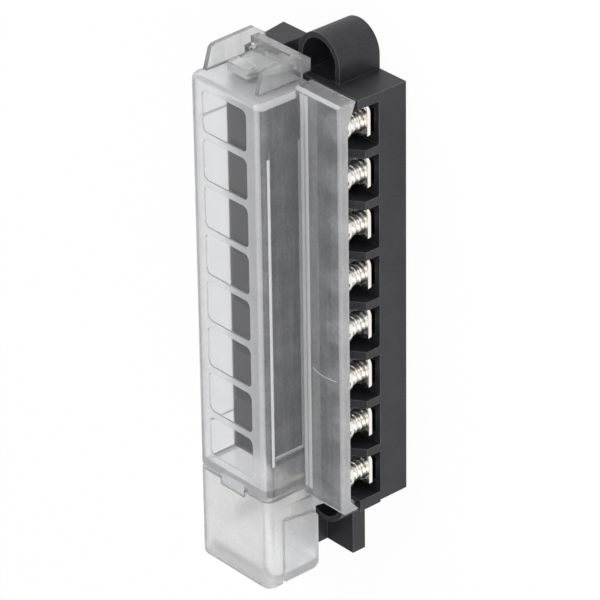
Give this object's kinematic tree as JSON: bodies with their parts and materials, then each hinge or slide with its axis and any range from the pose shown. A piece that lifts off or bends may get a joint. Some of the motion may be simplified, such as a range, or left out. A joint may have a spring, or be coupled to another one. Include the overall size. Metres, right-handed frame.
{
  "type": "fuse box",
  "caption": "Surface-mounted blade fuse box: black moulded base with screw terminals along one side, clear latched cover with sunk windows, and a clear end cap over the feed stud.",
  "frame": {"origin": "on the mounting face, under the middle of the fuse row", "axes": "+X across the block towards the screw terminals, +Y along the fuse row towards the latch, +Z out of the mounting face towards the cover's windows"},
  "size_m": [0.0413, 0.1405, 0.0313],
  "materials": {
    "black_plastic": "moulded, fine matt texture",
    "frosted_plastic": "translucent, frosted, with smoother window panes",
    "plated_brass": "tin plated, bright",
    "plated_steel": "zinc plated, bright"
  },
  "bodies": {
    "base_body": {"base": "black_plastic", "bus_bar": "plated_brass", "load_contact_1": "plated_brass", "load_contact_2": "plated_brass", "load_contact_3": "plated_brass", "load_contact_4": "plated_brass", "load_contact_5": "plated_brass", "load_contact_6": "plated_brass", "load_contact_7": "plated_brass", "load_contact_8": "plated_brass", "feed_stud": "plated_steel", "feed_washer": "plated_steel", "feed_spring_washer": "plated_steel"},
    "cover_body": {"cover": "frosted_plastic"},
    "cap_body": {"end_cap": "frosted_plastic"},
    "nut_body": {"feed_nut": "plated_steel"},
    "screw_body_1": {"terminal_screw_1": "plated_steel"},
    "screw_body_2": {"terminal_screw_2": "plated_steel"},
    "screw_body_3": {"terminal_screw_3": "plated_steel"},
    "screw_body_4": {"terminal_screw_4": "plated_steel"},
    "screw_body_5": {"terminal_screw_5": "plated_steel"},
    "screw_body_6": {"terminal_screw_6": "plated_steel"},
    "screw_body_7": {"terminal_screw_7": "plated_steel"},
    "screw_body_8": {"terminal_screw_8": "plated_steel"}
  },
  "joints": [
    {"name": "cover_lift", "type": "slide", "parent": "base_body", "child": "cover_body", "axis": [0, 0, 1], "range_m": [0, 0.04]},
    {"name": "cap_lift", "type": "slide", "parent": "base_body", "child": "cap_body", "axis": [0, 0, 1], "range_m": [0, 0.04]},
    {"name": "feed_nut_travel", "type": "slide", "parent": "base_body", "child": "nut_body", "axis": [0, 0, 1], "range_m": [0, 0.0105]},
    {"name": "screw_travel_1", "type": "slide", "parent": "base_body", "child": "screw_body_1", "axis": [0, 0, 1], "range_m": [-0.0043, 0]},
    {"name": "screw_travel_2", "type": "slide", "parent": "base_body", "child": "screw_body_2", "axis": [0, 0, 1], "range_m": [-0.0043, 0]},
    {"name": "screw_travel_3", "type": "slide", "parent": "base_body", "child": "screw_body_3", "axis": [0, 0, 1], "range_m": [-0.0043, 0]},
    {"name": "screw_travel_4", "type": "slide", "parent": "base_body", "child": "screw_body_4", "axis": [0, 0, 1], "range_m": [-0.0043, 0]},
    {"name": "screw_travel_5", "type": "slide", "parent": "base_body", "child": "screw_body_5", "axis": [0, 0, 1], "range_m": [-0.0043, 0]},
    {"name": "screw_travel_6", "type": "slide", "parent": "base_body", "child": "screw_body_6", "axis": [0, 0, 1], "range_m": [-0.0043, 0]},
    {"name": "screw_travel_7", "type": "slide", "parent": "base_body", "child": "screw_body_7", "axis": [0, 0, 1], "range_m": [-0.0043, 0]},
    {"name": "screw_travel_8", "type": "slide", "parent": "base_body", "child": "screw_body_8", "axis": [0, 0, 1], "range_m": [-0.0043, 0]}
  ]
}
